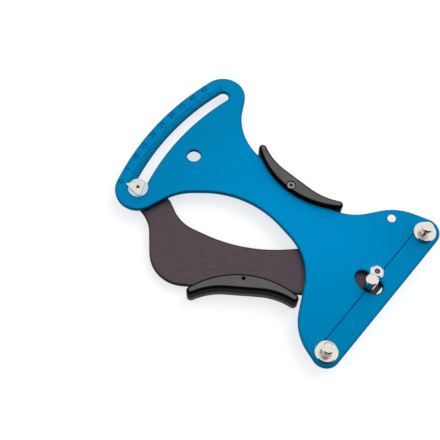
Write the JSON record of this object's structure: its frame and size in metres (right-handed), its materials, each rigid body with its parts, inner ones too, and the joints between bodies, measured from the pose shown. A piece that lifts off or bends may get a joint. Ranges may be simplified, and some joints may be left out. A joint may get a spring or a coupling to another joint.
{
  "type": "spoke tension meter",
  "caption": "Hand tool with fixed spoke posts, a sprung arm that carries a moving post, two crescent grips and a curved scale read by a pointer.",
  "frame": {"origin": "on the pivot axis, in the plane that the tool rests on (under the head of the pivot bolt)", "axes": "+X along the main plate from the scale towards the spoke posts, +Y towards the upper grip, +Z out of the front face"},
  "size_m": [0.1933, 0.1421, 0.0211],
  "materials": {
    "blue_plate": "bright blue anodised, satin",
    "dark_plate": "dark grey anodised over a brushed grain",
    "grip": "moulded, fine satin",
    "black_screw": "black oxide",
    "grip_screw": "bronzed, rubbed bright at the crown",
    "nickel_steel": "polished nickel plate",
    "polished_steel": "satin, stamped",
    "zinc_steel": "zinc plated",
    "spring_steel": "zinc plated wire",
    "bronze": "sintered bronze",
    "nylon": "milky, translucent"
  },
  "bodies": {
    "frame": {"main_plate": "blue_plate", "upper_grip": "grip", "upper_grip_screw": "grip_screw", "fixed_post_upper": "nickel_steel", "fixed_post_lower": "nickel_steel", "fixed_post_lock_washers": "zinc_steel", "fixed_post_nuts": "zinc_steel", "pivot_bolt": "black_screw", "pivot_washer": "zinc_steel", "pivot_bushing": "bronze", "thrust_washer": "nylon", "pivot_nut": "nickel_steel", "pivot_nut_insert": "nylon", "spring_anchor_pin": "nickel_steel", "return_spring": "spring_steel"},
    "arm": {"arm_plate": "dark_plate", "lower_grip": "grip", "lower_grip_screw": "grip_screw", "moving_post": "nickel_steel", "moving_post_screw": "zinc_steel", "arm_spring_pin": "nickel_steel", "pointer_stud": "black_screw", "pointer_sleeve": "nylon", "pointer_rear_washer": "nylon", "pointer_front_washer": "nylon", "pointer": "polished_steel"}
  },
  "joints": [
    {"name": "arm_swing", "type": "hinge", "parent": "frame", "child": "arm", "pos_m": [0, 0, 0], "axis": [0, 0, -1], "range_deg": [0, 30], "stiffness_Nm_per_rad": 1.35, "springref_deg": -32.95, "deforming": ["return_spring"]}
  ]
}
